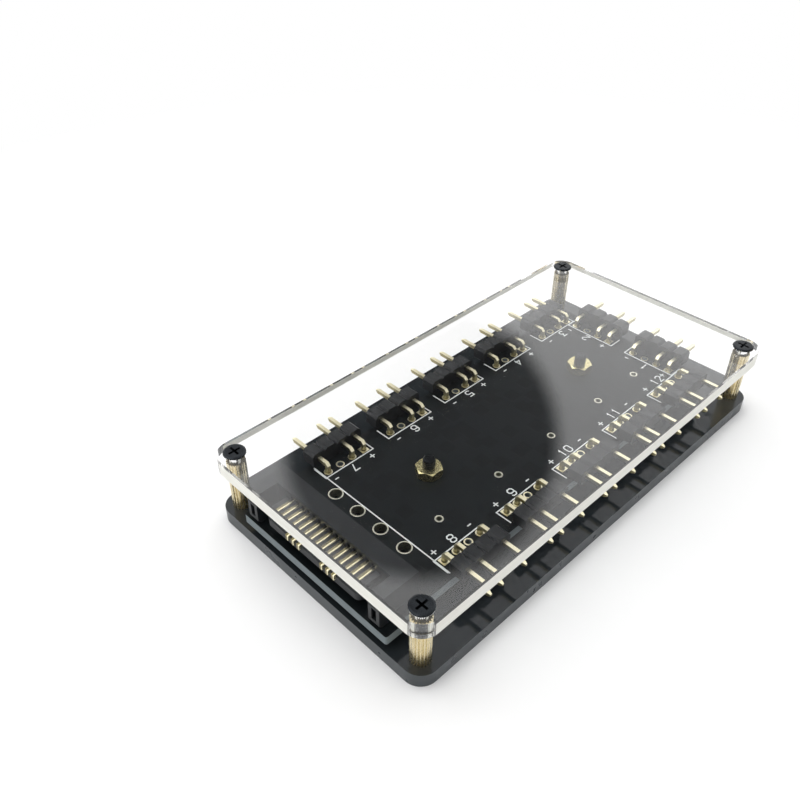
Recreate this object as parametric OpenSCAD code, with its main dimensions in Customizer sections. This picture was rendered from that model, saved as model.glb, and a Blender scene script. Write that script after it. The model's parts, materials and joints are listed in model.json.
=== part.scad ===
// Lighting splitter hub: a circuit board with twelve three-pin headers and one power socket,
// held between a black lower plate and a clear upper plate.
// Millimetres, Z up. The origin is the centre of the lower plate's underside.
// X runs along the long side, and the mouth of the power socket faces -X.

/* [Plates] */
// Length of both plates along X
plate_l = 88; // [85:0.5:110]
// Width of both plates along Y
plate_w = 46; // [45:0.5:60]
// Corner radius of both plates
plate_r = 3; // [1:0.5:6]
// Thickness of the black lower plate
base_t = 2.5; // [2:0.1:4]
// Thickness of the clear upper plate
cover_t = 3; // [2:0.1:5]

/* [Standoffs] */
// Height of a standoff between the two plates
standoff_h = 8; // [7.6:0.1:16]
// Diameter of a standoff over its ribs
standoff_d = 3.1; // [3:0.1:4.5]
// Number of ribs round a standoff
rib_count = 20; // [12:1:28]
// Depth of the grooves between the ribs
rib_depth = 0.22; // [0.1:0.02:0.3]
// Distance of a standoff's axis from the two nearest plate edges
corner_inset = 2.85; // [2.6:0.05:3.4]

/* [Screws and nuts] */
// Nominal thread diameter of every screw
screw_d = 2; // [1.6:0.1:2]
// Diameter of a countersunk head
head_d = 3.6; // [3.4:0.1:4]
// Height of the straight rim above a head's cone
head_rim_h = 0.3; // [0.1:0.05:0.4]
// How far a corner screw reaches into its standoff
screw_reach = 3; // [2:0.1:3.4]
// Width of a nut across its flats
nut_flats = 4; // [3.8:0.1:4.5]
// Height of a nut
nut_h = 1.6; // [1.2:0.1:2]

/* [Circuit board] */
// Thickness of the circuit board
board_t = 1.6; // [1.2:0.1:1.8]
// Gap between the lower plate and the board
board_gap = 1.6; // [1.2:0.1:1.8]
// Distance from the plates' end to the board's end on the header side
board_end_gap = 7.6; // [7:0.1:9]
// Distance from the plates' long edges to the board's long edges
board_side_gap = 7.15; // [6.8:0.05:8]
// Spacing of the two screws that hold the board
board_screw_spacing = 39.9; // [36:0.1:42]

/* [Pin headers] */
// Spacing of the pin positions in a header
pin_pitch = 2.54; // [2.5:0.01:2.6]
// Distance from the board's socket end to the first header of a long side
side_row_start = 13.126; // [12:0.1:14]
// Share of the free width that lies between the two headers on the short side
end_gap_share = 0.5758; // [0.3:0.01:0.8]
// Side of a square pin
pin_side = 0.64; // [0.5:0.02:0.64]
// Height of a header pin's axis above the board
pin_rise = 1.5; // [1.3:0.05:1.6]
// Length of a pin from its pad's centre to its tip
pin_out = 8.78; // [8:0.1:9.6]
// Height of a header's housing
cell_h = 2.75; // [2.54:0.05:3]
// Depth of a header's housing along the pins
cell_depth = 2.54; // [2:0.05:2.6]

/* [Power socket] */
// Width of the socket's housing along Y
socket_w = 29; // [28.4:0.1:30]
// Height of the socket's housing above the board
socket_h = 4.4; // [4.2:0.1:4.4]
// Depth of the rear block of the housing along X
socket_block = 3.2; // [2.8:0.1:4]
// Length of the guide arms in front of the rear block
arm_l = 4.2; // [3.6:0.1:4.4]
// Thickness of a guide arm
arm_t = 2.2; // [1.8:0.1:2.4]
// Width of the contact tongue
tongue_w = 20.6; // [20.2:0.1:21]
// Thickness of the contact tongue
tongue_t = 1.25; // [1:0.05:1.4]
// Height of the tongue's upper face above the board
tongue_z = 2.9; // [2.6:0.05:3.1]
// Spacing of the contacts
contact_pitch = 1.27; // [1.2:0.01:1.27]
// Width of a contact
contact_w = 0.6; // [0.5:0.02:0.8]

/* [Hidden] */
// Headers are numbered as on the board: two on the short side, then the far and the near long side.
header_total = 12;
end_headers = 2;
side_headers = 5;
position_count = 4;
loaded_positions = [0, 1, 3];
contact_count = 15;
long_contacts = [3, 4, 5, 9, 10, 11];

// Fits, each one a gap between two faces
thread_gap = 0.05;
head_gap = 0.03;
pin_gap = 0.03;
board_hole_gap = 0.1;
slot_gap = 0.03;

corner_x = plate_l / 2 - corner_inset;
corner_y = plate_w / 2 - corner_inset;
corners = [[-1, -1], [1, -1], [-1, 1], [1, 1]];
cover_z = base_t + standoff_h;
cone_h = (head_d - screw_d) / 2;

board_z = base_t + board_gap;
board_top = board_z + board_t;
board_x0 = -plate_l / 2 + 0.1;
board_x1 = plate_l / 2 - board_end_gap;
board_w = plate_w - 2 * board_side_gap;
board_yc = -0.55;
board_corner = 0.4;

pad_inset = 3.05;
row_end_gap = 2.15;
row_w = pin_pitch * position_count;
pad_line = board_w / 2 - pad_inset;
end_pad_line = board_x1 - pad_inset;
side_row_end = board_x1 - row_end_gap;
side_spacing = (side_row_end - row_w - board_x0 - side_row_start) / (side_headers - 1);
side_mid_x = (board_x0 + side_row_start + side_row_end) / 2;
end_spacing = row_w + end_gap_share * 2 * (pad_line - row_w);
far_middle = end_headers + (side_headers + 1) / 2;
near_middle = far_middle + side_headers;
housing_in = 2.06;

screw_offset_y = 1.35;
screw_places = [
    for (s = [-1, 1])
        [side_mid_x + s * board_screw_spacing / 2, board_yc + screw_offset_y]
];
spacer_d = 4;
screw_tip = 1.8;
board_screw_l = board_top + nut_h + screw_tip;
pin_z = board_top + pin_rise;
pin_tail = 1;

wire_hole_d = 2.4;
wire_hole_pitch = 5.08;
wire_hole_inset = 12;
wire_hole_x = board_x0 + wire_hole_inset;
via_d = 1.3;
via_offset_y = 6.65;
via_line_y = board_yc - via_offset_y;
via_steps = [-1.89, -0.89, 0.1, 1.08, 1.893];
via_places = [for (step = via_steps) side_mid_x + step * side_spacing];

socket_x0 = board_x0 + 0.3;
socket_yc = -0.3;
tongue_x0 = socket_x0 + 0.2;
block_x0 = socket_x0 + arm_l;
tongue_top = board_top + tongue_z;
contact_t = 0.25;
contact_edge = 0.1;
contact_leg_t = 0.4;
contact_leg_w = 0.4;
contact_leg_x = block_x0 + socket_block / 2;
contact_leg_low = board_z - 0.8;
leg_hole_d = 0.9;
short_contact_back = 0.9;
hook_drop = 0.7;
notch_l = 0.5;
notch_h = 0.9;
round_n = 32;
fine_n = 16;

// Flat plate with round corners, standing on z = 0
module round_plate(l, w, r, t) {
    linear_extrude(t)
        union() {
            square([l - 2 * r, w], center = true);
            square([l, w - 2 * r], center = true);
            for (c = corners)
                translate([c[0] * (l / 2 - r), c[1] * (w / 2 - r)])
                    circle(r, $fn = round_n);
        }
}

// Through hole with a countersink that opens upward at height top
module countersunk_hole(top, depth, sink = 0) {
    translate([0, 0, top - depth - 1])
        cylinder(d = screw_d + 2 * thread_gap, h = depth + 2, $fn = round_n);
    translate([0, 0, top - cone_h - sink])
        cylinder(d1 = screw_d + 2 * head_gap, d2 = head_d + 2 * head_gap, h = cone_h, $fn = round_n);
    translate([0, 0, top - sink])
        cylinder(d = head_d + 2 * head_gap, h = sink + 1, $fn = round_n);
}

// Countersunk screw with a cross recess, its cone's upper edge on z = 0 and its tip pointing down
module countersunk_screw(l, rim) {
    difference() {
        rotate_extrude($fn = round_n)
            polygon([
                [0, -l], [screw_d / 2 - 0.25, -l], [screw_d / 2, -l + 0.3],
                [screw_d / 2, -cone_h], [head_d / 2, 0], [head_d / 2, rim * 0.5],
                [head_d / 2 - 0.25, rim], [0, rim]
            ]);
        cross_recess(rim);
    }
}

// Cross-shaped recess that narrows toward its floor
module cross_recess(rim) {
    arm = head_d * 0.58;
    for (a = [0, 90])
        rotate([0, 0, a])
            translate([0, 0.2, 0])
                rotate([90, 0, 0])
                    linear_extrude(0.4)
                        polygon([
                            [-arm / 2, rim + 0.1], [-arm / 2, rim - 0.2], [-0.3, rim - 1],
                            [0.3, rim - 1], [arm / 2, rim - 0.2], [arm / 2, rim + 0.1]
                        ]);
}

module at_corner(i) {
    translate([corners[i][0] * corner_x, corners[i][1] * corner_y, 0]) children();
}

module at_corners() {
    for (i = [0:3])
        at_corner(i) children();
}

module at_board_screws() {
    for (p = screw_places)
        translate([p[0], p[1], 0]) children();
}

// Puts its children on pad line of header number, with local X along the row and -Y outward
module at_header(number) {
    if (number <= end_headers)
        translate([end_pad_line, board_yc + end_spacing * (number - 1.5), 0])
            rotate([0, 0, 90]) children();
    else if (number <= end_headers + side_headers)
        translate([side_mid_x + side_spacing * (far_middle - number), board_yc + pad_line, 0])
            rotate([0, 0, 180]) children();
    else
        translate([side_mid_x + side_spacing * (number - near_middle), board_yc - pad_line, 0])
            children();
}

function position_x(k) = (k - (position_count - 1) / 2) * pin_pitch;

function contact_y(k) = socket_yc + ((contact_count - 1) / 2 - k) * contact_pitch;

// Lower plate, countersunk from below for the corner screws and the board screws
module base_plate() {
    color([0.03, 0.03, 0.035])
        difference() {
            round_plate(plate_l, plate_w, plate_r, base_t);
            at_corners() rotate([180, 0, 0]) countersunk_hole(0, base_t, head_rim_h);
            at_board_screws() rotate([180, 0, 0]) countersunk_hole(0, base_t, head_rim_h);
        }
}

// Clear upper plate, countersunk from above
module cover_plate() {
    color([0.85, 0.9, 0.92, 0.35])
        translate([0, 0, cover_z])
            difference() {
                round_plate(plate_l, plate_w, plate_r, cover_t);
                at_corners() countersunk_hole(cover_t, cover_t);
            }
}

// Round spacer with straight ribs and a threaded bore
module standoff(i) {
    crest = standoff_d / 2;
    root = crest - rib_depth;
    step = 360 / rib_count;
    color([0.72, 0.6, 0.36])
        at_corner(i)
            translate([0, 0, base_t])
                difference() {
                    linear_extrude(standoff_h)
                        polygon([
                            for (k = [0:rib_count - 1], p = [[0, root], [0.3, crest], [0.6, crest], [0.9, root]])
                                p[1] * [cos((k + p[0]) * step), sin((k + p[0]) * step)]
                        ]);
                    translate([0, 0, -1])
                        cylinder(d = screw_d + 2 * thread_gap, h = standoff_h + 2, $fn = round_n);
                }
}

// Four screws through the clear plate, their rims standing just above it
module cover_screws() {
    color([0.05, 0.05, 0.055])
        at_corners()
            translate([0, 0, cover_z + cover_t])
                countersunk_screw(cover_t + screw_reach, head_rim_h);
}

// Four screws from below, flush with the underside
module base_screws() {
    color([0.05, 0.05, 0.055])
        at_corners()
            translate([0, 0, head_rim_h])
                rotate([180, 0, 0])
                    countersunk_screw(base_t - head_rim_h + screw_reach, head_rim_h);
}

// Two screws that hold the board, with their tips above the nuts
module board_screws() {
    color([0.05, 0.05, 0.055])
        at_board_screws()
            translate([0, 0, head_rim_h])
                rotate([180, 0, 0])
                    countersunk_screw(board_screw_l - head_rim_h, head_rim_h);
}

// Hexagon nuts with chamfered corners
module board_nuts() {
    across = nut_flats / cos(30);
    color([0.75, 0.6, 0.3])
        at_board_screws()
            translate([0, 0, board_top])
                difference() {
                    intersection() {
                        cylinder(d = across, h = nut_h, $fn = 6);
                        rotate_extrude($fn = round_n)
                            polygon([
                                [0, 0], [nut_flats / 2, 0], [across / 2, 0.25],
                                [across / 2, nut_h - 0.25], [nut_flats / 2, nut_h], [0, nut_h]
                            ]);
                    }
                    translate([0, 0, -1])
                        cylinder(d = screw_d + 2 * thread_gap, h = nut_h + 2, $fn = round_n);
                }
}

// Round washers that lift the board off the lower plate
module board_spacers() {
    color([0.85, 0.85, 0.82])
        at_board_screws()
            translate([0, 0, base_t])
                difference() {
                    cylinder(d = spacer_d, h = board_gap, $fn = round_n);
                    translate([0, 0, -1])
                        cylinder(d = screw_d + 2 * thread_gap, h = board_gap + 2, $fn = round_n);
                }
}

// Board outline with small round corners
module board_outline() {
    l = board_x1 - board_x0;
    r = board_corner;
    translate([(board_x0 + board_x1) / 2, board_yc]) {
        square([l - 2 * r, board_w], center = true);
        square([l, board_w - 2 * r], center = true);
        for (c = corners)
            translate([c[0] * (l / 2 - r), c[1] * (board_w / 2 - r)])
                circle(r, $fn = fine_n);
    }
}

module circuit_board() {
    hole_d = sqrt(2) * pin_side + 2 * board_hole_gap;
    color([0.07, 0.075, 0.08])
        translate([0, 0, board_z])
            difference() {
                linear_extrude(board_t) board_outline();
                translate([0, 0, -1]) {
                    at_board_screws()
                        cylinder(d = screw_d + 2 * thread_gap, h = board_t + 2, $fn = round_n);
                    for (n = [1:header_total], k = [0:position_count - 1])
                        at_header(n)
                            translate([position_x(k), 0, 0])
                                cylinder(d = hole_d, h = board_t + 2, $fn = fine_n);
                    for (k = [0:3])
                        translate([wire_hole_x, (k - 1.5) * wire_hole_pitch, 0])
                            cylinder(d = wire_hole_d, h = board_t + 2, $fn = round_n);
                    for (x = via_places)
                        translate([x, via_line_y, 0])
                            cylinder(d = via_d, h = board_t + 2, $fn = fine_n);
                    for (k = [0:contact_count - 1])
                        translate([contact_leg_x, contact_y(k), 0])
                            cylinder(d = leg_hole_d, h = board_t + 2, $fn = fine_n);
                }
            }
}

// Header housing: a row of cells with chamfered edges, so that grooves run along the pins
module header_housing(number) {
    c = 0.45;
    h = cell_h;
    left = -row_w / 2;
    hole = pin_side + 2 * pin_gap;
    color([0.05, 0.05, 0.055])
        at_header(number)
            translate([0, -housing_in, board_top])
                rotate([90, 0, 0])
                    linear_extrude(cell_depth)
                        difference() {
                            polygon([
                                for (k = [0:position_count - 1])
                                    each [
                                        [left + k * pin_pitch, c],
                                        [left + k * pin_pitch + c, 0],
                                        [left + (k + 1) * pin_pitch - c, 0]
                                    ],
                                [left + row_w, c],
                                [left + row_w, h - c],
                                for (k = [position_count - 1:-1:0])
                                    each [
                                        [left + (k + 1) * pin_pitch - c, h],
                                        [left + k * pin_pitch + c, h],
                                        [left + k * pin_pitch, h - c]
                                    ]
                            ]);
                            for (k = loaded_positions)
                                translate([position_x(k), pin_rise])
                                    square(hole, center = true);
                        }
}

// Bent square pins: a leg through the board, a bend, and a straight part that ends in a point
module header_pins(number) {
    color([0.85, 0.7, 0.35])
        at_header(number)
            for (k = loaded_positions)
                translate([position_x(k), 0, 0])
                    bent_pin();
}

module bent_pin() {
    s = pin_side / 2;
    low = board_z - pin_tail;
    tip = -pin_out;
    bend = 0.5;
    intersection() {
        rotate([90, 0, 90])
            translate([0, 0, -s])
                linear_extrude(pin_side)
                    polygon([
                        [-s + 0.15, low], [s - 0.15, low], [s, low + 0.3],
                        [s, pin_z + s - bend], [s - bend, pin_z + s],
                        [tip + 0.5, pin_z + s], [tip, pin_z + s * 0.5],
                        [tip, pin_z - s * 0.5], [tip + 0.5, pin_z - s],
                        [-s, pin_z - s], [-s, low + 0.3]
                    ]);
        linear_extrude(pin_z + 1)
            polygon([
                [-s, s], [-s, tip + 0.5], [-s * 0.5, tip],
                [s * 0.5, tip], [s, tip + 0.5], [s, s]
            ]);
    }
}

// Power socket: a rear block, two guide arms and a flat tongue that carries the contacts
module socket_housing() {
    y0 = socket_yc - socket_w / 2;
    slot_w = contact_w + 2 * slot_gap;
    color([0.04, 0.04, 0.045])
        difference() {
            union() {
                translate([block_x0, y0, board_top]) cube([socket_block, socket_w, socket_h]);
                for (s = [0, 1])
                    translate([socket_x0, y0 + s * (socket_w - arm_t), board_top])
                        guide_arm();
                socket_tongue();
            }
            for (k = [0:contact_count - 1])
                translate([0, contact_y(k) - slot_w / 2, 0])
                    contact_slot(slot_w);
        }
}

// Guide arm with a lead-in chamfer and a window in its front
module guide_arm() {
    difference() {
        rotate([90, 0, 0])
            translate([0, 0, -arm_t])
                linear_extrude(arm_t)
                    polygon([
                        [0.5, 0], [arm_l + 0.1, 0], [arm_l + 0.1, socket_h],
                        [0.8, socket_h], [0, socket_h - 0.8], [0, 0.5]
                    ]);
        translate([-1, 0.65, 1.1])
            cube([3, arm_t - 1.3, socket_h - 2.2]);
    }
}

// Tongue with rounded front corners
module socket_tongue() {
    r = 1;
    l = block_x0 - tongue_x0 + 0.1;
    translate([tongue_x0, socket_yc, tongue_top - tongue_t])
        linear_extrude(tongue_t)
            union() {
                translate([r, -tongue_w / 2]) square([l - r, tongue_w]);
                translate([0, -tongue_w / 2 + r]) square([l, tongue_w - 2 * r]);
                for (s = [-1, 1])
                    translate([r, s * (tongue_w / 2 - r)])
                        circle(r, $fn = fine_n);
            }
}

// Slot for one contact: a notch in the front of the block, a channel, then a shaft down to the board
module contact_slot(w) {
    translate([block_x0 - 0.01, 0, tongue_top])
        cube([notch_l, w, notch_h]);
    translate([block_x0 - 0.01, 0, tongue_top])
        cube([contact_leg_x + contact_leg_t / 2 + slot_gap - block_x0, w, contact_t + slot_gap]);
    translate([contact_leg_x - contact_leg_t / 2 - slot_gap, 0, board_top - 1])
        cube([contact_leg_t + 2 * slot_gap, w, tongue_z + 1 + contact_t + slot_gap]);
}

// Fifteen flat contacts; six reach further and curl down over the tongue's front edge
module socket_contacts() {
    color([0.85, 0.7, 0.35])
        for (k = [0:contact_count - 1])
            translate([0, contact_y(k), 0])
                contact(len(search(k, long_contacts)) > 0);
}

module contact(is_long) {
    w = contact_w;
    top = tongue_top + contact_t;
    front = is_long ? tongue_x0 - contact_t : tongue_x0 + short_contact_back;
    leg = contact_leg_x + contact_leg_t / 2;
    low = contact_leg_low;
    rotate([90, 0, 0])
        translate([0, 0, -w / 2])
            linear_extrude(w)
                polygon(concat(
                    [
                        [leg, top], [leg, tongue_top]
                    ],
                    is_long
                        ? [[front + contact_t, tongue_top], [front + contact_t, tongue_top - hook_drop],
                           [front, tongue_top - hook_drop], [front, top - contact_edge], [front + contact_edge, top]]
                        : [[front, tongue_top], [front, top - contact_edge], [front + contact_edge, top]]
                ));
    translate([contact_leg_x - contact_leg_t / 2, -contact_leg_w / 2, low])
        cube([contact_leg_t, contact_leg_w, tongue_top - low + contact_t]);
}

base_plate();
cover_plate();
circuit_board();
for (i = [0:3])
    standoff(i);
cover_screws();
base_screws();
board_screws();
board_nuts();
board_spacers();
socket_housing();
socket_contacts();
for (n = [1:header_total])
    header_housing(n);
for (n = [1:header_total])
    header_pins(n);
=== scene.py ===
"""Dressed scene of a lighting splitter hub.

The frame's solids keep their meshes and take procedural finishes. What the solids leave out
is built here: the printed legend, the plated pads and holes, and the threads of the screw
tips. All lengths are in metres, in the same frame as the solids.
"""
import json
import logging
import math
from dataclasses import dataclass
from enum import Enum
from typing import Any, Dict, Iterable, List, Optional, Sequence, Tuple

import bmesh
import bpy
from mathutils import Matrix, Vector


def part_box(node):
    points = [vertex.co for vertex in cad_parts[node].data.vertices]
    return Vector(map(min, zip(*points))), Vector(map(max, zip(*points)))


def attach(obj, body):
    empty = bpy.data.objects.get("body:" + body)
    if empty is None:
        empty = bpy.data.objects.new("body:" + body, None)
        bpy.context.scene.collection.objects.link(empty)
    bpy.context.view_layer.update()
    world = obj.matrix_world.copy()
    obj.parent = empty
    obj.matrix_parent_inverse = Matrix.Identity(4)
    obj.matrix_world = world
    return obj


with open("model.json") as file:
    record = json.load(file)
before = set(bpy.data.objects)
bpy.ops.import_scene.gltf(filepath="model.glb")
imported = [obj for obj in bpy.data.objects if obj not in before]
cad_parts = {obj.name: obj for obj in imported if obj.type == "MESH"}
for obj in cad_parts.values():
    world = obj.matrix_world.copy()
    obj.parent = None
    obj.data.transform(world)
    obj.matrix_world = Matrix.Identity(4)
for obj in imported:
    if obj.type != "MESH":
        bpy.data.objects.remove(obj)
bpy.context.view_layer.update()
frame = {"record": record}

log = logging.getLogger("hub")

MM = 0.001
# Refractive index of cast acrylic.
ACRYLIC_INDEX = 1.49
Point = Tuple[float, float]
Colour = Tuple[float, float, float, float]


def srgb(code: str) -> Colour:
    """Turn an sRGB hex colour into linear values.

    Args:
        code: Six hex digits, with or without a leading hash.

    Returns:
        Linear red, green and blue, and an alpha of one.
    """
    digits = code.lstrip("#")
    channels = []
    # The numbers are those of the sRGB standard.
    for start in (0, 2, 4):
        value = int(digits[start:start + 2], 16) / 255
        channels.append(value / 12.92 if value <= 0.04045 else ((value + 0.055) / 1.055) ** 2.4)
    return channels[0], channels[1], channels[2], 1.0


def add_node(
    tree: bpy.types.NodeTree,
    kind: str,
    settings: Optional[Dict[str, Any]] = None,
    inputs: Optional[Dict[Any, Any]] = None,
) -> bpy.types.Node:
    """Add a node, set its properties, and set or link its inputs.

    Args:
        tree: Node tree that gets the node.
        kind: Blender's type name of the node.
        settings: Property names and their values.
        inputs: Socket names or numbers, each with a value or with a socket to link from.

    Returns:
        The new node.
    """
    node = tree.nodes.new(kind)
    for name, value in (settings or {}).items():
        setattr(node, name, value)
    for name, value in (inputs or {}).items():
        if isinstance(value, bpy.types.NodeSocket):
            tree.links.new(value, node.inputs[name])
        else:
            node.inputs[name].default_value = value
    return node


def calculate(
    tree: bpy.types.NodeTree, operation: str, *values: Any
) -> bpy.types.NodeSocket:
    """Add one step of arithmetic.

    Args:
        tree: Node tree that gets the node.
        operation: Blender's name of the operation.
        values: Numbers or sockets to link from, in the order of the node's inputs.

    Returns:
        The result's socket.
    """
    node = add_node(tree, "ShaderNodeMath", {"operation": operation}, dict(enumerate(values)))
    return node.outputs["Value"]


def seen_rays(tree: bpy.types.NodeTree) -> bpy.types.NodeSocket:
    """Tell the rays that look from those that light.

    Args:
        tree: Node tree that gets the nodes.

    Returns:
        A value socket: 1 for what is seen straight, in gloss or through clear sheet.
    """
    rays = add_node(tree, "ShaderNodeLightPath")
    seen = rays.outputs["Is Camera Ray"]
    for kind in ("Is Glossy Ray", "Is Transmission Ray"):
        seen = calculate(tree, "MAXIMUM", seen, rays.outputs[kind])
    return seen


class Side(Enum):
    """Side of the board that a header stands on, as its outward direction."""

    END = (1.0, 0.0)
    FAR = (0.0, 1.0)
    NEAR = (0.0, -1.0)


# Finishes


@dataclass(frozen=True)
class Finish:
    """A procedural material on one principled shader.

    Attributes:
        name: Name of the material, after the real one.
    """

    name: str

    def build(self) -> bpy.types.Material:
        """Make the material.

        Returns:
            The finished material.
        """
        material = bpy.data.materials.new(self.name)
        material.use_nodes = True
        tree = material.node_tree
        tree.nodes.clear()
        shader = add_node(tree, "ShaderNodeBsdfPrincipled")
        surface = self.surface(tree, shader)
        add_node(tree, "ShaderNodeOutputMaterial", inputs={"Surface": surface})
        self.paint(tree, shader)
        return material

    def surface(
        self, tree: bpy.types.NodeTree, shader: bpy.types.Node
    ) -> bpy.types.NodeSocket:
        """Give the socket that feeds the surface.

        Args:
            tree: The material's tree.
            shader: The principled shader.

        Returns:
            The shader's own output, unless a finish adds to it.
        """
        return shader.outputs["BSDF"]

    def paint(self, tree: bpy.types.NodeTree, shader: bpy.types.Node) -> None:
        """Set the shader's colour, gloss and relief.

        Args:
            tree: The material's tree.
            shader: The principled shader.
        """
        raise NotImplementedError

    @staticmethod
    def place(
        tree: bpy.types.NodeTree, stretch: Sequence[float] = (1, 1, 1)
    ) -> bpy.types.NodeSocket:
        """Give the object's own coordinates, stretched along its axes.

        Args:
            tree: The material's tree.
            stretch: Factor on each axis; under one draws a pattern out along it.

        Returns:
            A vector socket, in metres times the stretch.
        """
        coordinates = add_node(tree, "ShaderNodeTexCoord")
        mapping = add_node(
            tree, "ShaderNodeMapping",
            inputs={"Vector": coordinates.outputs["Object"], "Scale": tuple(stretch)})
        return mapping.outputs["Vector"]

    @classmethod
    def grain(
        cls, tree: bpy.types.NodeTree, size: float, detail: float = 3.0,
        stretch: Sequence[float] = (1, 1, 1),
    ) -> bpy.types.NodeSocket:
        """Give a cloudy pattern of one real size.

        Args:
            tree: The material's tree.
            size: Width of a cloud in metres.
            detail: Number of finer layers.
            stretch: Factor on each axis.

        Returns:
            A value socket, about 0 to 1.
        """
        noise = add_node(
            tree, "ShaderNodeTexNoise",
            inputs={"Vector": cls.place(tree, stretch), "Scale": 1 / size, "Detail": detail})
        return noise.outputs["Fac"]

    @staticmethod
    def spread(
        tree: bpy.types.NodeTree, value: bpy.types.NodeSocket, low: float, high: float,
        start: float = 0.3, end: float = 0.7,
    ) -> bpy.types.NodeSocket:
        """Map a pattern on to a range of values.

        Args:
            tree: The material's tree.
            value: The pattern.
            low: Result at start.
            high: Result at end.
            start: Pattern value that gives low.
            end: Pattern value that gives high.

        Returns:
            A value socket.
        """
        mapped = add_node(
            tree, "ShaderNodeMapRange",
            inputs={"Value": value, "From Min": start, "From Max": end,
                    "To Min": low, "To Max": high})
        return mapped.outputs["Result"]

    @staticmethod
    def blend_colour(
        tree: bpy.types.NodeTree, factor: bpy.types.NodeSocket, first: Any, second: Any
    ) -> bpy.types.NodeSocket:
        """Mix two colours by a pattern.

        Args:
            tree: The material's tree.
            factor: The pattern, 0 for the first colour and 1 for the second.
            first: Colour or colour socket.
            second: Colour or colour socket.

        Returns:
            A colour socket.
        """
        mix = add_node(
            tree, "ShaderNodeMix", {"data_type": "RGBA"}, {"Factor": factor, 6: first, 7: second})
        return mix.outputs[2]

    @staticmethod
    def blend_value(
        tree: bpy.types.NodeTree, factor: bpy.types.NodeSocket, first: Any, second: Any
    ) -> bpy.types.NodeSocket:
        """Mix two values by a pattern, as blend_colour mixes colours."""
        mix = add_node(
            tree, "ShaderNodeMix", {"data_type": "FLOAT"}, {"Factor": factor, 2: first, 3: second})
        return mix.outputs[0]

    @staticmethod
    def split(tree: bpy.types.NodeTree, vector: bpy.types.NodeSocket) -> bpy.types.Node:
        """Split a vector socket into its X, Y and Z."""
        return add_node(tree, "ShaderNodeSeparateXYZ", inputs={"Vector": vector})

    @staticmethod
    def relief(
        tree: bpy.types.NodeTree, height: bpy.types.NodeSocket, depth: float, strength: float
    ) -> bpy.types.NodeSocket:
        """Turn a pattern into small relief.

        Args:
            tree: The material's tree.
            height: The pattern.
            depth: Depth of the relief in metres.
            strength: Share of the relief that is used.

        Returns:
            A normal socket.
        """
        bump = add_node(
            tree, "ShaderNodeBump",
            inputs={"Height": height, "Distance": depth, "Strength": strength})
        return bump.outputs["Normal"]

    @classmethod
    def rim_mask(cls, tree: bpy.types.NodeTree) -> bpy.types.NodeSocket:
        """Give 1 on a sheet's cut rim and 0 on its flat faces."""
        geometry = add_node(tree, "ShaderNodeNewGeometry")
        normal = cls.split(tree, geometry.outputs["True Normal"])
        level = calculate(tree, "ABSOLUTE", normal.outputs["Z"])
        return calculate(tree, "LESS_THAN", level, 0.5)


@dataclass(frozen=True)
class BlackAcrylic(Finish):
    """Cast black acrylic sheet with a laser-cut rim.

    The faces mirror what stands on them, broken by faint wiping marks. The rim is softer
    because the cut melted it, and its greyer colour is painted sheen of the pale surroundings.

    Attributes:
        face: Colour of the faces.
        rim: Colour of the rim, painted greyer than the faces as painted sheen.
        smudge: Width of a wiping mark.
        scorch: Width of a dull patch on the rim.
        wiped: Lowest and highest roughness of the faces.
        cut: Lowest and highest roughness of the rim.
        specular: Strength of the gloss.
    """

    face: str = "#23272a"
    rim: str = "#43484b"
    smudge: float = 14 * MM
    scorch: float = 2.5 * MM
    wiped: Tuple[float, float] = (0.03, 0.08)
    cut: Tuple[float, float] = (0.26, 0.36)
    specular: float = 0.3

    def paint(self, tree: bpy.types.NodeTree, shader: bpy.types.Node) -> None:
        """Paint dark faces with wiping marks, and a softer rim with painted sheen."""
        rim = self.rim_mask(tree)
        wiped = self.spread(tree, self.grain(tree, self.smudge, 4), *self.wiped)
        cut = self.spread(tree, self.grain(tree, self.scorch, 3), *self.cut)
        tree.links.new(self.blend_value(tree, rim, wiped, cut), shader.inputs["Roughness"])
        # Painted sheen: the rim takes a greyer colour than the faces in place of reflected light.
        colour = self.blend_colour(tree, rim, srgb(self.face), srgb(self.rim))
        tree.links.new(colour, shader.inputs["Base Color"])
        shader.inputs["IOR"].default_value = ACRYLIC_INDEX
        shader.inputs["Specular IOR Level"].default_value = self.specular


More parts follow.
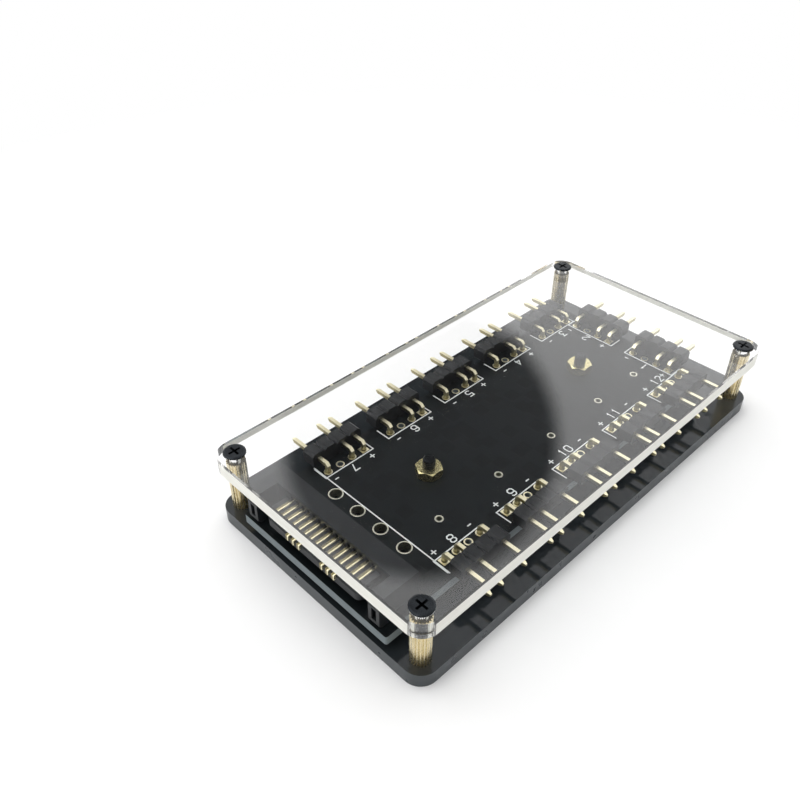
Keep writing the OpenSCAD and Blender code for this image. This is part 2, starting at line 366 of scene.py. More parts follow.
@dataclass(frozen=True)
class ClearAcrylic(Finish):
    """Clear cast acrylic sheet with a laser-cut rim.

    The faces are clear and glossy. The frosted rim shows nearly white and carries a painted
    glow: it emits its own colour though it is no lamp.

    Attributes:
        rim: Colour of the frosted rim.
        rim_shade: Colour of its greyer streaks.
        see_through: Share of light that passes the frosting.
        piped: Strength of the painted glow that the frosted rim emits, in place of
            light that the sheet leads to its rim.
        frost_top: Height in the frame up to which the rim is frosted.
        frost_edge: Width of the frosting's soft upper edge.
        straight: Larger level part of the normal where the frosting starts and where it is
            full, so that the round corners stay clear.
        smudge: Width of a smear on the faces.
        smear: Lowest and highest roughness of the faces.
        streak: Width of a streak that the cut leaves on the rim.
        drawn: Stretch of the streaks along X, Y and Z.
        cut: Lowest and highest roughness of the rim.
        passed: Share of red, green and blue light that reaches what lies below.
    """

    rim: str = "#f5f4ec"
    rim_shade: str = "#ecebe2"
    see_through: float = 0.15
    piped: float = 0.08
    frost_top: float = 12.85 * MM
    frost_edge: float = 0.15 * MM
    straight: Tuple[float, float] = (0.97, 0.995)
    smudge: float = 18 * MM
    smear: Tuple[float, float] = (0.0, 0.003)
    # Drawn coarser than the real streaks, which are about 0.2 mm apart.
    streak: float = 0.6 * MM
    drawn: Tuple[float, float, float] = (0.06, 0.06, 1.0)
    cut: Tuple[float, float] = (0.3, 0.42)
    passed: Colour = (0.9, 0.92, 0.92, 1.0)

    def surface(
        self, tree: bpy.types.NodeTree, shader: bpy.types.Node
    ) -> bpy.types.NodeSocket:
        """Let light through to what lies below, as thin clear sheet does."""
        rays = add_node(tree, "ShaderNodeLightPath")
        clear = add_node(tree, "ShaderNodeBsdfTransparent", inputs={"Color": self.passed})
        mixed = add_node(
            tree, "ShaderNodeMixShader",
            inputs={0: rays.outputs["Is Shadow Ray"], 1: shader.outputs["BSDF"],
                    2: clear.outputs["BSDF"]})
        return mixed.outputs["Shader"]

    def paint(self, tree: bpy.types.NodeTree, shader: bpy.types.Node) -> None:
        """Paint clear faces and a frosted rim with a painted glow."""
        frosted = self.frosted(tree)
        shader.inputs["IOR"].default_value = ACRYLIC_INDEX
        body = self.spread(tree, frosted, 1.0, self.see_through, 0.0, 1.0)
        tree.links.new(body, shader.inputs["Transmission Weight"])
        smear = self.spread(tree, self.grain(tree, self.smudge, 4), *self.smear)
        streaks = self.grain(tree, self.streak, 3, self.drawn)
        cut = self.spread(tree, streaks, *self.cut)
        tree.links.new(self.blend_value(tree, frosted, smear, cut), shader.inputs["Roughness"])
        bright = self.blend_colour(
            tree, self.spread(tree, streaks, 0.0, 1.0), srgb(self.rim), srgb(self.rim_shade))
        colour = self.blend_colour(tree, frosted, (1, 1, 1, 1), bright)
        tree.links.new(colour, shader.inputs["Base Color"])
        # Painted glow: the frosted rim emits its own colour, though it is no lamp.
        tree.links.new(colour, shader.inputs["Emission Color"])
        piped = self.spread(tree, frosted, 0.0, self.piped, 0.0, 1.0)
        tree.links.new(piped, shader.inputs["Emission Strength"])

    def frosted(self, tree: bpy.types.NodeTree) -> bpy.types.NodeSocket:
        """Give 1 on the rim's straight sides below its bevel, and 0 elsewhere."""
        geometry = add_node(tree, "ShaderNodeNewGeometry")
        normal = self.split(tree, geometry.outputs["True Normal"])
        sizes = [calculate(tree, "ABSOLUTE", normal.outputs[axis]) for axis in ("X", "Y")]
        larger = calculate(tree, "MAXIMUM", *sizes)
        straight = self.spread(tree, larger, 0.0, 1.0, *self.straight)
        height = self.split(tree, self.place(tree)).outputs["Z"]
        below = self.spread(
            tree, height, 1.0, 0.0, self.frost_top - self.frost_edge, self.frost_top)
        return calculate(tree, "MULTIPLY", straight, below)


@dataclass(frozen=True)
class SolderMask(Finish):
    """Black solder mask over a glass-fibre laminate.

    The mask is semi-gloss with a faint ripple over the copper, and the sawn rim shows the
    pale layers of the laminate.

    Attributes:
        mask: Colour over bare laminate.
        copper: Colour over copper.
        copper_edge: Where the copper starts and is full, as shares of a patch.
        copper_depth: Step of the mask at the copper's edge.
        copper_relief: Share of that step that is used.
        track: Size of a copper patch.
        laminate: Colour of the rim's paler layers.
        laminate_shade: Colour of its darker layers.
        layer: Thickness of a layer of glass cloth.
        ripple: Width of the ripple in the gloss.
        gloss: Lowest and highest roughness of the mask.
        rim_dullness: Roughness that the sawn rim has beyond the mask's.
        specular: Strength of the gloss.
    """

    mask: str = "#0f1214"
    copper: str = "#121618"
    copper_edge: Tuple[float, float] = (0.36, 0.4)
    copper_depth: float = 0.035 * MM
    copper_relief: float = 0.3
    track: float = 3.2 * MM
    laminate: str = "#7b8487"
    laminate_shade: str = "#50575a"
    layer: float = 0.2 * MM
    ripple: float = 1.5 * MM
    gloss: Tuple[float, float] = (0.3, 0.42)
    rim_dullness: float = 0.35
    specular: float = 0.12

    def paint(self, tree: bpy.types.NodeTree, shader: bpy.types.Node) -> None:
        """Paint the mask, its ripple over the copper and the layered rim."""
        rim = self.rim_mask(tree)
        pour = add_node(
            tree, "ShaderNodeTexVoronoi",
            {"distance": "CHEBYCHEV", "feature": "F1"},
            {"Vector": self.place(tree), "Scale": 1 / self.track})
        copper = self.spread(tree, pour.outputs["Distance"], 0.0, 1.0, *self.copper_edge)
        mask = self.blend_colour(tree, copper, srgb(self.mask), srgb(self.copper))
        layers = self.spread(tree, self.grain(tree, self.layer, 2, (0.1, 0.1, 1)), 0.75, 1.0)
        laminate = self.blend_colour(
            tree, layers, srgb(self.laminate_shade), srgb(self.laminate))
        colour = self.blend_colour(tree, rim, mask, laminate)
        tree.links.new(colour, shader.inputs["Base Color"])
        gloss = self.spread(tree, self.grain(tree, self.ripple, 3), *self.gloss)
        rough = self.spread(tree, rim, 0.0, self.rim_dullness, 0.0, 1.0)
        tree.links.new(calculate(tree, "ADD", gloss, rough), shader.inputs["Roughness"])
        relief = self.relief(tree, copper, self.copper_depth, self.copper_relief)
        tree.links.new(relief, shader.inputs["Normal"])
        shader.inputs["IOR"].default_value = 1.5
        shader.inputs["Specular IOR Level"].default_value = self.specular


@dataclass(frozen=True)
class Metal(Finish):
    """Plain or plated metal with fine working marks.

    Attributes:
        tint: Colour of the metal.
        shade: Colour of its duller patches.
        low: Roughness of the brightest places.
        high: Roughness of the dullest places.
        patch: Width of a duller patch.
        mark: Width of the working marks in metres.
        mark_depth: Depth of the marks.
        mark_relief: Share of that depth that is used.
        drawn: Stretch of the marks along X, Y and Z.
    """

    tint: str = "#d8bf80"
    shade: str = "#b99b5c"
    low: float = 0.16
    high: float = 0.3
    patch: float = 1.8 * MM
    # Drawn coarser than the real marks, which are about 0.05 mm wide.
    mark: float = 0.15 * MM
    mark_depth: float = 0.004 * MM
    mark_relief: float = 0.2
    drawn: Tuple[float, float, float] = (1.0, 1.0, 1.0)

    def paint(self, tree: bpy.types.NodeTree, shader: bpy.types.Node) -> None:
        """Paint the metal, its duller patches, its fine marks and any painted light and shade."""
        shader.inputs["Metallic"].default_value = 1.0
        patches = self.spread(tree, self.grain(tree, self.patch, 3), 0.0, 1.0)
        colour = self.blend_colour(tree, patches, srgb(self.tint), srgb(self.shade))
        tree.links.new(self.burnish(tree, colour), shader.inputs["Base Color"])
        marks = self.grain(tree, self.mark, 2, self.drawn)
        tree.links.new(self.spread(tree, marks, self.low, self.high), shader.inputs["Roughness"])
        relief = self.relief(tree, marks, self.mark_depth, self.mark_relief)
        tree.links.new(relief, shader.inputs["Normal"])

    def burnish(
        self, tree: bpy.types.NodeTree, colour: bpy.types.NodeSocket
    ) -> bpy.types.NodeSocket:
        """Give the colour as it is; a finish may paint light and shade on it."""
        return colour


@dataclass(frozen=True)
class PinWire(Metal):
    """Gold-plated square wire, whose upright sides carry painted shade, darker than its top
    and underside.

    Attributes:
        dull: Colour of the painted shade on the upright sides.
    """

    dull: str = "#a89f7c"

    def burnish(
        self, tree: bpy.types.NodeTree, colour: bpy.types.NodeSocket
    ) -> bpy.types.NodeSocket:
        """Paint shade on the upright sides."""
        # Painted shade: the upright sides take a darker colour than the top and underside.
        return self.blend_colour(tree, self.rim_mask(tree), colour, srgb(self.dull))


@dataclass(frozen=True)
class ContactStrip(Metal):
    """Gold-plated strip blanked into contacts.

    Each contact's face is painted dull gold as painted shade, and a painted highlight runs
    as a thin bright line along its edge towards -Y.

    Attributes:
        bright: Colour of the painted highlight along each contact's edge.
        pitch: Spacing of the contacts.
        middle: Place of the middle contact along Y.
        width: Width of a contact.
        line: Width of the painted highlight line.
        line_fade: Width of the line's soft end.
    """

    bright: str = "#fdf3cb"
    pitch: float = 1.27 * MM
    middle: float = -0.3 * MM
    width: float = 0.6 * MM
    line: float = 0.2 * MM
    line_fade: float = 0.05 * MM

    def burnish(
        self, tree: bpy.types.NodeTree, colour: bpy.types.NodeSocket
    ) -> bpy.types.NodeSocket:
        """Paint a highlight line along each contact's edge."""
        across = self.split(tree, self.place(tree)).outputs["Y"]
        # Each turn starts a little before the contact's edge, so that none wraps on it.
        lead = self.pitch / 20
        start = self.middle - self.width / 2 - lead
        turn = calculate(
            tree, "WRAP", calculate(tree, "SUBTRACT", across, start), self.pitch, 0.0)
        end = lead + self.line
        # Painted highlight: a thin bright line along each contact's edge.
        lit = self.spread(tree, turn, 1.0, 0.0, end, end + self.line_fade)
        return self.blend_colour(tree, lit, colour, srgb(self.bright))


@dataclass(frozen=True)
class MouldedPlastic(Finish):
    """Injection-moulded plastic.

    The spark-eroded mould leaves a fine even grain, and the flow of the plastic leaves
    slightly paler and duller clouds.

    Attributes:
        tint: Colour of the plastic.
        cloud: Colour of the clouds.
        low: Lowest roughness.
        high: Highest roughness.
        flow: Width of a cloud.
        texture: Size of the mould's grain in metres.
        texture_depth: Depth of the grain.
        texture_relief: Share of that depth that is used.
        specular: Strength of the gloss.
    """

    tint: str = "#15171a"
    cloud: str = "#1d2023"
    low: float = 0.36
    high: float = 0.5
    flow: float = 4 * MM
    # Drawn coarser than the real grain, which is about 0.03 mm.
    texture: float = 0.12 * MM
    texture_depth: float = 0.012 * MM
    texture_relief: float = 0.5
    specular: float = 0.3

    def paint(self, tree: bpy.types.NodeTree, shader: bpy.types.Node) -> None:
        """Paint the plastic, its clouds and its grain."""
        clouds = self.spread(tree, self.grain(tree, self.flow, 3), 0.0, 1.0)
        colour = self.blend_colour(tree, clouds, srgb(self.tint), srgb(self.cloud))
        tree.links.new(colour, shader.inputs["Base Color"])
        roughness = self.spread(tree, clouds, self.low, self.high, 0.0, 1.0)
        tree.links.new(roughness, shader.inputs["Roughness"])
        fine = self.grain(tree, self.texture, 2)
        relief = self.relief(tree, fine, self.texture_depth, self.texture_relief)
        tree.links.new(relief, shader.inputs["Normal"])
        shader.inputs["IOR"].default_value = 1.52
        shader.inputs["Specular IOR Level"].default_value = self.specular


@dataclass(frozen=True)
class Floor(Finish):
    """White paper sweep, matt and nearly even.

    Close to the hub it takes the soft shadow. Further out it fades into the white backdrop.

    Attributes:
        tint: Colour of the paper.
        fibre: Colour of its faint clouds.
        cloud: Width of a cloud.
        fade_start: Distance from the middle where the paper starts to fade.
        fade_end: Distance where it has faded.
    """

    tint: str = "#fdfdfd"
    fibre: str = "#fafafa"
    cloud: float = 60 * MM
    fade_start: float = 75 * MM
    fade_end: float = 200 * MM

    def surface(
        self, tree: bpy.types.NodeTree, shader: bpy.types.Node
    ) -> bpy.types.NodeSocket:
        """Fade the paper into the white backdrop where it is looked at."""
        distance = add_node(
            tree, "ShaderNodeVectorMath", {"operation": "LENGTH"}, {0: self.place(tree)})
        far = self.spread(
            tree, distance.outputs["Value"], 0.0, 1.0, self.fade_start, self.fade_end)
        share = calculate(tree, "MULTIPLY", far, seen_rays(tree))
        white = add_node(tree, "ShaderNodeEmission", inputs={"Strength": 1.0})
        mixed = add_node(
            tree, "ShaderNodeMixShader",
            inputs={0: share, 1: shader.outputs["BSDF"], 2: white.outputs["Emission"]})
        return mixed.outputs["Shader"]

    def paint(self, tree: bpy.types.NodeTree, shader: bpy.types.Node) -> None:
        """Paint matt paper with a faint cloudiness."""
        clouds = self.spread(tree, self.grain(tree, self.cloud, 3), 0.0, 1.0)
        colour = self.blend_colour(tree, clouds, srgb(self.tint), srgb(self.fibre))
        tree.links.new(colour, shader.inputs["Base Color"])
        shader.inputs["Roughness"].default_value = 0.9
        shader.inputs["Specular IOR Level"].default_value = 0.1


# Geometry


class Sketch:
    """Flat shapes that are raised into one thin piece."""

    # Points closer than this are one.
    MERGE = 1e-7
    # Cosine at which a mitre stops growing, so that a sharp bend has no long spike.
    SHARPEST = 0.4

    def __init__(self, name: str, base: float, height: float) -> None:
        """Start an empty piece.

        Args:
            name: Name of the piece.
            base: Height of its underside in metres.
            height: Thickness in metres.
        """
        self.name = name
        self.base = base
        self.height = height
        self.mesh = bmesh.new()

    def face(self, corners: Iterable[Point]) -> None:
        """Add a flat face at the underside's height, its corners anticlockwise from above."""
        vertices = [self.mesh.verts.new((x, y, self.base)) for x, y in corners]
        self.mesh.faces.new(vertices)

    def ribbon(self, points: Sequence[Point], width: float) -> None:
        """Add a line of even width with mitred bends.

        Args:
            points: The line's middle.
            width: Width of the line in metres.
        """
        path = [Vector(p) for p in points]
        left: List[Vector] = []
        right: List[Vector] = []
        for i, here in enumerate(path):
            before = (here - path[i - 1]).normalized() if i else None
            after = (path[i + 1] - here).normalized() if i + 1 < len(path) else None
            along = ((before or after) + (after or before)).normalized()
            across = Vector((-along.y, along.x))
            turn = max(self.SHARPEST, along.dot(after or before))
            reach = width / 2 / turn
            left.append(here + across * reach)
            right.append(here - across * reach)
        for i in range(len(path) - 1):
            self.face([tuple(right[i]), tuple(right[i + 1]), tuple(left[i + 1]), tuple(left[i])])

    def ring(self, centre: Point, inner: float, outer: float, sides: int) -> None:
        """Add a flat ring between two radii, with a number of straight sides."""
        outline = [self.around(centre, outer, i / sides) for i in range(sides)]
        self.frame_ring(centre, inner, outline)

    def frame_ring(self, centre: Point, inner: float, outline: Sequence[Point]) -> None:
        """Add a face with a round hole and any outline round it.

        Args:
            centre: Middle of the hole.
            inner: Radius of the hole.
            outline: Outer points, evenly turned round the centre from the +X side.
        """
        count = len(outline)
        hole = [self.around(centre, inner, i / count) for i in range(count)]
        for i in range(count):
            j = (i + 1) % count
            self.face([hole[i], outline[i], outline[j], hole[j]])

    @staticmethod
    def around(centre: Point, radius: float, turn: float) -> Point:
        """Give the point of a circle at a share of a full turn from the +X side."""
        angle = turn * math.tau
        return centre[0] + radius * math.cos(angle), centre[1] + radius * math.sin(angle)

    def finish(self, material: bpy.types.Material) -> bpy.types.Object:
        """Raise the faces, and make a piece that rides on the root body.

        Args:
            material: Material of the piece.

        Returns:
            The new object.
        """
        bmesh.ops.remove_doubles(self.mesh, verts=self.mesh.verts, dist=self.MERGE)
        raised = bmesh.ops.extrude_face_region(self.mesh, geom=self.mesh.faces[:])
        top = [item for item in raised["geom"] if isinstance(item, bmesh.types.BMVert)]
        bmesh.ops.translate(self.mesh, vec=(0, 0, self.height), verts=top)
        bmesh.ops.recalc_face_normals(self.mesh, faces=self.mesh.faces[:])
        return make_piece(self.name, self.mesh, material)


def make_piece(
    name: str, shape: bmesh.types.BMesh, material: bpy.types.Material
) -> bpy.types.Object:
    """Turn a bmesh into an object on the root body.

    Args:
        name: Name of the object.
        shape: Its mesh, which is freed.
        material: Its material.

    Returns:
        The new object.
    """
    data = bpy.data.meshes.new(name)
    shape.to_mesh(data)
    shape.free()
    data.materials.append(material)
    piece = bpy.data.objects.new(name, data)
    bpy.context.scene.collection.objects.link(piece)
    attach(piece, "root")
    return piece


@dataclass(frozen=True)
class HeaderPlace:
    """Place of one pin header on the board.

    Attributes:
        number: Number printed beside the header.
        origin: Middle of its row of pads.
        outward: Direction in which its pins point.
        along: Direction from its first position to its last.
    """

    number: int
    origin: Vector
    outward: Vector
    along: Vector

    POSITIONS = 4
    PITCH = 2.54 * MM
    PIN = 0.64 * MM

    @classmethod
    def find(cls, number: int) -> "HeaderPlace":
        """Work out the place of the header with this number from its solids."""
        side = Side.END if number <= 2 else Side.FAR if number <= 7 else Side.NEAR
        outward = Vector(side.value)
        along = Vector((-outward.y, outward.x))
        low, high = (Vector(c[:2]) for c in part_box(f"header_housing_{number}"))
        middle = (low + high) / 2
        low, high = (Vector(c[:2]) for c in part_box(f"header_pins_{number}"))
        inner = low if max(outward) > 0 else high
        pad_line = inner.dot(outward) + cls.PIN / 2
        origin = along * middle.dot(along) + outward * pad_line
        return cls(number, origin, outward, along)

    def at(self, along: float, outward: float) -> Point:
        """Give the point in plan at a distance along the row and outward from its pads."""
        point = self.origin + self.along * along + self.outward * outward
        return point.x, point.y

    def position(self, index: int) -> float:
        """Give the distance of a pin position, counted from 0, from the row's middle."""
        return (index - (self.POSITIONS - 1) / 2) * self.PITCH


class StrokeFont:
    """Digits and two marks drawn with a pen, on a grid four wide and six high."""

    WIDTH = 4
    HEIGHT = 6
    STROKES: Dict[str, List[List[Point]]] = {
        "0": [[(1, 0), (3, 0), (4, 1), (4, 5), (3, 6), (1, 6), (0, 5), (0, 1), (1, 0)]],
        "1": [[(1, 5), (2, 6), (2, 0)]],
        "2": [[(0, 5), (1, 6), (3, 6), (4, 5), (4, 4), (0, 0), (4, 0)]],
        "3": [[(0, 6), (4, 6), (2, 3.5), (3, 3.5), (4, 2.5), (4, 1), (3, 0), (1, 0), (0, 1)]],
        "4": [[(3, 0), (3, 6), (0, 2), (4, 2)]],
        "5": [[(4, 6), (0, 6), (0, 3.5), (3, 3.5), (4, 2.5), (4, 1), (3, 0), (1, 0), (0, 1)]],
        "6": [[(4, 5), (3, 6), (1, 6), (0, 5), (0, 1), (1, 0), (3, 0), (4, 1), (4, 2.5),
               (3, 3.5), (0, 3.5)]],
        "7": [[(0, 6), (4, 6), (1.5, 0)]],
        "8": [[(1, 3), (0, 4), (0, 5), (1, 6), (3, 6), (4, 5), (4, 4), (3, 3), (1, 3), (0, 2),
               (0, 1), (1, 0), (3, 0), (4, 1), (4, 2), (3, 3)]],
        "9": [[(0, 1), (1, 0), (3, 0), (4, 1), (4, 5), (3, 6), (1, 6), (0, 5), (0, 3.5),
               (1, 2.5), (4, 2.5)]],
        "+": [[(0, 3), (4, 3)], [(2, 1), (2, 5)]],
        "-": [[(0.5, 3), (3.5, 3)]],
    }

    def write(
        self, sketch: Sketch, place: HeaderPlace, text: str, middle: float, foot: float,
        height: float, pen: float,
    ) -> None:
        """Draw a text that reads from outside the board.

        Args:
            sketch: Piece that gets the strokes.
            place: Header that the text belongs to.
            text: Digits or marks.
            middle: Middle of the text along the row.
            foot: Distance of the text's foot inward from the pads.
            height: Height of a digit.
            pen: Width of a stroke.
        """
        unit = height / self.HEIGHT
        step = (self.WIDTH + 2) * unit
        start = middle - (step * len(text) - 2 * unit) / 2
        for index, letter in enumerate(text):
            for stroke in self.STROKES[letter]:
                points = [
                    place.at(start + index * step + x * unit, -(foot + y * unit))
                    for x, y in stroke]
                sketch.ribbon(points, pen)


@dataclass
class Board:
    """The circuit board with its printed legend and its plated holes.

    Attributes:
        line: Width of a printed line.
        text_gap: Distance from a frame's inner line to the foot of its text.
        divider_x: Place of the dividing line along X.
        divider_low: Distance of its end from the board's edge at -Y.
        divider_high: Distance of its end from the board's edge at +Y.
        frame_in: Distance from the pads to the printed frame's inner line.
        frame_out: Distance from the pads to the frame's open end.
        digit: Height of a printed digit.
        print_height: Thickness of the ink.
        pad_height: Thickness of a pad over the board.
        pad_hole: Radius of a header pad's hole.
        pad_outer: Radius of a round pad, and half the side of a square one.
        wall: Thickness of the plating in a hole.
        wire_hole: Radius of a wire hole.
        wire_pad: Outer radius of its ring.
        wire_pitch: Spacing of the wire holes.
        wire_x: Place of the wire holes along X.
        via_hole: Radius of a small hole.
        via_pad: Outer radius of its ring.
        via_y: Place of the small holes along Y.
    """

    line: float = 0.2 * MM
    text_gap: float = 0.45 * MM
    divider_x: float = -30.6 * MM
    divider_low: float = 0.9 * MM
    divider_high: float = 0.8 * MM
    frame_in: float = 0.95 * MM
    frame_out: float = 1.95 * MM
    digit: float = 1.5 * MM
    print_height: float = 0.03 * MM
    pad_height: float = 0.04 * MM
    pad_hole: float = 0.5 * MM
    pad_outer: float = 0.72 * MM
    wall: float = 0.16 * MM
    wire_hole: float = 1.2 * MM
    wire_pad: float = 1.21 * MM
    wire_pitch: float = 5.08 * MM
    wire_x: float = -31.9 * MM
    via_hole: float = 0.65 * MM
    via_pad: float = 0.7 * MM
    via_y: float = -7.2 * MM

    WIRE_HOLES = 4
    # The middle header of the side at -Y, after the one before it.
    NEAR_MIDDLE = (9, 10)
    # Places of the small holes along X from the middle header of their side, in spacings.
    VIA_STEPS = (-1.89, -0.89, 0.1, 1.08, 1.893)
    PAD_SIDES = 32
    HOLE_SIDES = 40

    def __post_init__(self) -> None:
        """Read the board's height and find its headers."""
        low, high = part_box("circuit_board")
        self.top = high[2]
        self.bottom = low[2]
        self.low_y = low[1]
        self.high_y = high[1]
        self.headers = [HeaderPlace.find(n) for n in range(1, 13)]

    def print_legend(self, ink: bpy.types.Material) -> bpy.types.Object:
        """Print the frames, the numbers and the dividing line.

        Args:
            ink: Material of the print.

        Returns:
            The legend.
        """
        legend = Sketch("legend", self.top, self.print_height)
        font = StrokeFont()
        half = HeaderPlace.PITCH * HeaderPlace.POSITIONS / 2
        for place in self.headers:
            legend.ribbon(
                [place.at(-half, self.frame_out), place.at(-half, -self.frame_in),
                 place.at(half, -self.frame_in), place.at(half, self.frame_out)], self.line)
            foot = self.frame_in + self.text_gap
            font.write(legend, place, "+", place.position(0), foot, self.digit, self.line)
            font.write(legend, place, str(place.number), 0, foot, self.digit, self.line)
            font.write(legend, place, "-", place.position(3), foot, self.digit, self.line)
        legend.ribbon(
            [(self.divider_x, self.low_y + self.divider_low),
             (self.divider_x, self.high_y - self.divider_high)], self.line)
        return legend.finish(ink)

    def plate_pads(self, gold: bpy.types.Material) -> bpy.types.Object:
        """Lay the header pads: a square one at the first position and round ones after it.

        Args:
            gold: Material of the pads.

        Returns:
            The pads.
        """
        pads = Sketch("header_pads", self.top, self.pad_height)
        for place in self.headers:
            for index in range(HeaderPlace.POSITIONS):
                centre = place.at(place.position(index), 0)
                if index:
                    pads.ring(centre, self.pad_hole, self.pad_outer, self.PAD_SIDES)
                else:
                    outline = self.square(centre, self.pad_outer, self.PAD_SIDES)
                    pads.frame_ring(centre, self.pad_hole, outline)
        return pads.finish(gold)

    @staticmethod
    def square(centre: Point, half: float, sides: int) -> List[Point]:
        """Give points of a square, one for each equal turn round its middle."""
        points = []
        for i in range(sides):
            x, y = math.cos(i / sides * math.tau), math.sin(i / sides * math.tau)
            reach = half / max(abs(x), abs(y))
            points.append((centre[0] + x * reach, centre[1] + y * reach))
        return points

    def plate_holes(self, tin: bpy.types.Material) -> bpy.types.Object:
        """Plate the open holes with rings and barrels.

        Args:
            tin: Material of the plating.

        Returns:
            The plating.
        """
        middle = (self.WIRE_HOLES - 1) / 2
        previous_x, middle_x = (self.headers[number - 1].origin.x for number in self.NEAR_MIDDLE)
        spacing = middle_x - previous_x
        holes = [((self.wire_x, (k - middle) * self.wire_pitch), self.wire_hole, self.wire_pad)
                 for k in range(self.WIRE_HOLES)]
        holes += [((middle_x + step * spacing, self.via_y), self.via_hole, self.via_pad)
                  for step in self.VIA_STEPS]
        rings = Sketch("hole_rings", self.top, self.pad_height)
        barrels = Sketch("hole_barrels", self.bottom, self.top - self.bottom)
        for centre, hole, pad in holes:
            rings.ring(centre, hole - self.wall, pad, self.HOLE_SIDES)
            barrels.ring(centre, hole - self.wall, hole, self.HOLE_SIDES)
        rings.finish(tin)
        return barrels.finish(tin)


@dataclass
class ScrewTips:
    """Threads on the tips of the two board screws, above their nuts.

    Attributes:
        pitch: Rise of the thread in one turn.
        crest: Radius of the thread's crest.
        root: Radius of its root.
        ridge: Half the height of the ridge, as a share of the pitch.
        tip_gap: Length of bare tip above the thread.
    """

    pitch: float = 0.4 * MM
    crest: float = 1.06 * MM
    root: float = 0.99 * MM
    ridge: float = 0.4
    tip_gap: float = 0.25 * MM

    STEPS_PER_TURN = 32

    def cut(self, steel: bpy.types.Material) -> bpy.types.Object:
        """Wind the thread round both tips.

        Args:
            steel: Material of the screws.

        Returns:
            The threads.
        """
        shape = bmesh.new()
        _, nuts_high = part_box("board_nuts")
        screws_low, screws_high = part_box("board_screws")
        head = (screws_high[1] - screws_low[1]) / 2
        middle_y = (screws_low[1] + screws_high[1]) / 2
        start, end = nuts_high[2], screws_high[2] - self.tip_gap
        for x in (screws_low[0] + head, screws_high[0] - head):
            self.wind(shape, x, middle_y, start, end)
        bmesh.ops.recalc_face_normals(shape, faces=shape.faces[:])
        return make_piece("screw_threads", shape, steel)

    def wind(self, shape: bmesh.types.BMesh, x: float, y: float, start: float, end: float) -> None:
        """Add one helical ridge.

        Args:
            shape: Mesh that gets the ridge.
            x: Place of the axis along X.
            y: Place of the axis along Y.
            start: Height of the lowest turn.
            end: Height of the highest turn.
        """
        turns = (end - start - self.pitch) / self.pitch
        steps = max(1, int(turns * self.STEPS_PER_TURN))
        profile = [(self.root, -self.ridge), (self.crest, 0.0), (self.root, self.ridge)]
        rings = []
        for i in range(steps + 1):
            turn = i / self.STEPS_PER_TURN
            across, along = math.cos(turn * math.tau), math.sin(turn * math.tau)
            z = start + self.pitch / 2 + turn * self.pitch
            rings.append([
                shape.verts.new((x + r * across, y + r * along, z + h * self.pitch))
                for r, h in profile])
        for first, second in zip(rings, rings[1:]):
            for k in range(3):
                shape.faces.new((first[k], first[(k + 1) % 3], second[(k + 1) % 3], second[k]))
        shape.faces.new(rings[0])
        shape.faces.new(rings[-1])


# Studio


@dataclass
class PhotoCamera:
    """Camera at the photograph's viewing angle.

    Attributes:
        place: Position in metres.
        azimuth: Viewing direction in plan, from +Y towards +X, in degrees.
        elevation: Angle below the horizon in degrees.
        focal: Focal length in image widths.
    """

    SENSOR = 36.0
    NEAREST = 0.005

    place: Tuple[float, float, float] = (-89.19 * MM, -65.64 * MM, 98.78 * MM)
    azimuth: float = 44.183
    elevation: float = 38.317
    focal: float = 831.9 / 800

    def set_up(self) -> None:
        """Create the camera and make it the scene's."""
        data = bpy.data.cameras.new("photo_camera")
        data.sensor_fit = "HORIZONTAL"
        data.sensor_width = self.SENSOR
        data.lens = self.SENSOR * self.focal
        data.clip_start = self.NEAREST
        camera = bpy.data.objects.new("photo_camera", data)
        azimuth, elevation = math.radians(self.azimuth), math.radians(self.elevation)
        ahead = Vector((
            math.sin(azimuth) * math.cos(elevation),
            math.cos(azimuth) * math.cos(elevation),
            -math.sin(elevation)))
        camera.location = self.place
        camera.rotation_euler = ahead.to_track_quat("-Z", "Y").to_euler()
        bpy.context.scene.collection.objects.link(camera)
        bpy.context.scene.camera = camera


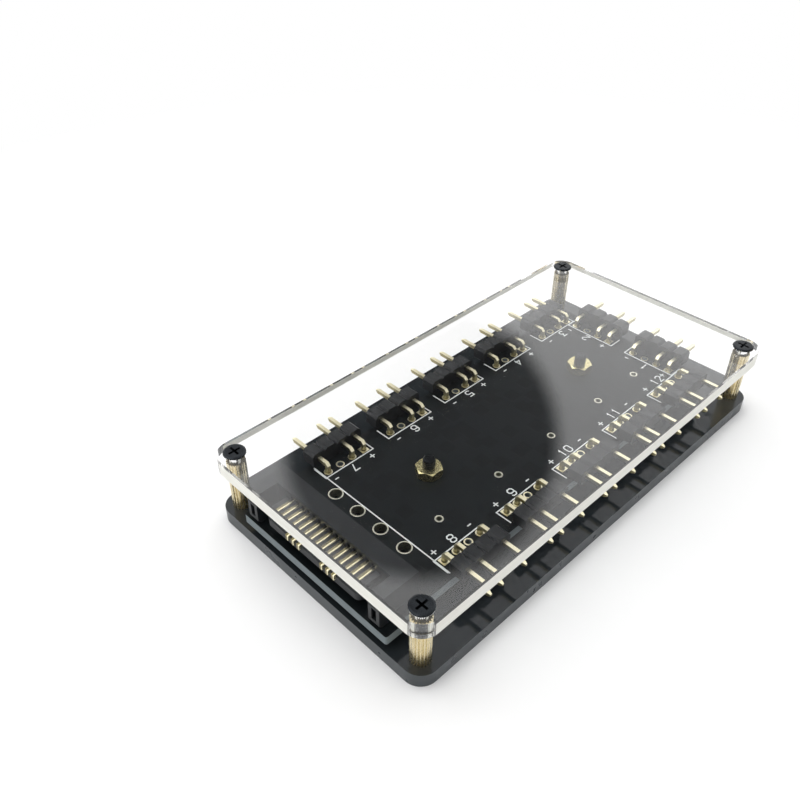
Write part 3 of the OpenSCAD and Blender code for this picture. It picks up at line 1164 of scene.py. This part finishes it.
@dataclass
class Studio:
    """White floor, soft box and pale surroundings with one dark flag.

    What is seen of the surroundings is white, and their brighter part beyond the hub gives
    the clear plate its sheen. They light the hub at about the level at which a colour renders
    as it is written.

    Attributes:
        floor_half: Half of the floor's side.
        level: Light of the surroundings on the photographer's side.
        far_level: Strength of the surroundings beyond the hub.
        far_edge: Cosines of the angle from the flag's middle where the brighter part starts
            and where it is full.
        flag: Direction of the dark flag, whose reflection lies in the clear plate.
        flag_turn: Angular radius of the flag in degrees.
        flag_soft: Width of its soft edge in degrees.
        flag_level: Share of the light that comes from the flag.
        box_power: Power of the soft box in watts.
        box_side: Side of the soft box.
        box_place: Position of the soft box.
    """

    floor_half: float = 3.0
    level: float = 0.52
    far_level: float = 1.6
    far_edge: Tuple[float, float] = (0.3, 0.95)
    flag: Tuple[float, float, float] = (0.542, 0.523, 0.656)
    flag_turn: float = 8.5
    flag_soft: float = 1.8
    flag_level: float = 0.03
    box_power: float = 1.7
    box_side: float = 0.7
    box_place: Tuple[float, float, float] = (-0.32, 0.28, 0.5)

    def set_up(self) -> None:
        """Lay the floor, hang the soft box and light the surroundings."""
        shape = bmesh.new()
        bmesh.ops.create_grid(shape, x_segments=1, y_segments=1, size=self.floor_half)
        data = bpy.data.meshes.new("floor")
        shape.to_mesh(data)
        shape.free()
        data.materials.append(Floor("white_paper").build())
        floor = bpy.data.objects.new("floor", data)
        bpy.context.scene.collection.objects.link(floor)
        self.hang_soft_box()
        self.light_surroundings()

    def hang_soft_box(self) -> None:
        """Hang one large lamp that gives the edges their soft shadow."""
        lamp = bpy.data.lights.new("soft_box", "AREA")
        lamp.shape = "SQUARE"
        lamp.size = self.box_side
        lamp.energy = self.box_power
        box = bpy.data.objects.new("soft_box", lamp)
        box.location = self.box_place
        box.rotation_euler = (-box.location).to_track_quat("-Z", "Y").to_euler()
        bpy.context.scene.collection.objects.link(box)

    def light_surroundings(self) -> None:
        """Light the scene from all round, with a dark flag in one direction."""
        world = bpy.data.worlds.new("surroundings")
        world.use_nodes = True
        tree = world.node_tree
        tree.nodes.clear()
        direction = add_node(tree, "ShaderNodeTexCoord")
        aim = Vector(self.flag).normalized()
        nearness = add_node(
            tree, "ShaderNodeVectorMath", {"operation": "DOT_PRODUCT"},
            {0: direction.outputs["Generated"], 1: tuple(aim)})
        edge = math.cos(math.radians(self.flag_turn))
        soft = math.cos(math.radians(self.flag_turn + self.flag_soft))
        tone = add_node(
            tree, "ShaderNodeMapRange", {"interpolation_type": "SMOOTHSTEP"},
            {"Value": nearness.outputs["Value"], "From Min": soft, "From Max": edge,
             "To Min": 1.0, "To Max": self.flag_level})
        near = add_node(
            tree, "ShaderNodeMapRange",
            inputs={"Value": seen_rays(tree), "To Min": self.level, "To Max": 1.0})
        beyond = add_node(
            tree, "ShaderNodeMapRange", {"interpolation_type": "SMOOTHSTEP"},
            {"Value": nearness.outputs["Value"],
             "From Min": self.far_edge[0], "From Max": self.far_edge[1],
             "To Min": near.outputs["Result"], "To Max": self.far_level})
        strength = calculate(
            tree, "MULTIPLY", tone.outputs["Result"], beyond.outputs["Result"])
        lit = add_node(
            tree, "ShaderNodeBackground",
            inputs={"Color": (1, 1, 1, 1), "Strength": strength})
        add_node(tree, "ShaderNodeOutputWorld", inputs={"Surface": lit.outputs["Background"]})
        bpy.context.scene.world = world


# Assembly


class Hub:
    """The whole hub: its solids in their finishes, and the pieces built on them."""

    def __init__(self) -> None:
        """Build every finish once."""
        self.finishes: Dict[str, bpy.types.Material] = {
            "black_acrylic": BlackAcrylic("cast_black_acrylic").build(),
            "clear_acrylic": ClearAcrylic("cast_clear_acrylic").build(),
            "board_laminate": SolderMask("black_solder_mask").build(),
            "knurled_brass": Metal(
                "turned_knurled_brass", tint="#ece0bf", shade="#dccfab", low=0.2, high=0.32,
                drawn=(1, 1, 0.2)).build(),
            "blackened_steel": Metal(
                "black_oxide_steel", tint="#303336", shade="#202225", low=0.2, high=0.34).build(),
            "nut_brass": Metal(
                "turned_brass", tint="#e2d8a8", shade="#cfc490", low=0.2, high=0.3,
                drawn=(1, 1, 4)).build(),
            "nylon": MouldedPlastic(
                "natural_nylon", tint="#dcdcd4", cloud="#cfcfc6", low=0.4, high=0.5).build(),
            "socket_plastic": MouldedPlastic("glass_filled_polymer").build(),
            # The contacts' gold is painted darker than the pins' gold as painted shade.
            "contact_gold": ContactStrip(
                "gold_plated_strip", tint="#8c8360", shade="#6f674a", low=0.2, high=0.32,
                drawn=(0.1, 1, 1)).build(),
            "header_plastic": MouldedPlastic(
                "moulded_nylon", tint="#131518", cloud="#1a1c1f", low=0.32, high=0.44).build(),
            "pin_gold": PinWire(
                "gold_plated_wire", tint="#f2ebcb", shade="#e6dfbe", low=0.26, high=0.36).build(),
        }

    def dress(self) -> None:
        """Give every solid the finish of its slot in the record."""
        slots = {part["node"]: part["material_slot"] for part in frame["record"]["subparts"]}
        for node, material_slot in slots.items():
            solid = bpy.data.objects[node]
            solid.data.materials.clear()
            solid.data.materials.append(self.finishes[material_slot])
        log.info("dressed %d solids", len(slots))

    def build_details(self) -> None:
        """Build the legend, the plating and the threads."""
        board = Board()
        ink = MouldedPlastic(
            "white_legend_ink", tint="#e8ebea", cloud="#dfe3e2", low=0.5, high=0.6).build()
        tin = Metal("tinned_copper", tint="#e6e4d4", shade="#d6d3c0", low=0.25, high=0.4).build()
        for piece in (
            board.print_legend(ink),
            board.plate_pads(self.finishes["pin_gold"]),
            board.plate_holes(tin),
            ScrewTips().cut(self.finishes["blackened_steel"]),
        ):
            log.info("built %s", piece.name)


def main() -> None:
    """Set up the studio, dress the solids and build the details."""
    logging.basicConfig(level=logging.INFO, format="%(name)s: %(message)s")
    bpy.context.scene.view_settings.view_transform = "Standard"
    PhotoCamera().set_up()
    Studio().set_up()
    hub = Hub()
    hub.dress()
    hub.build_details()


if __name__ == "__main__":
    main()
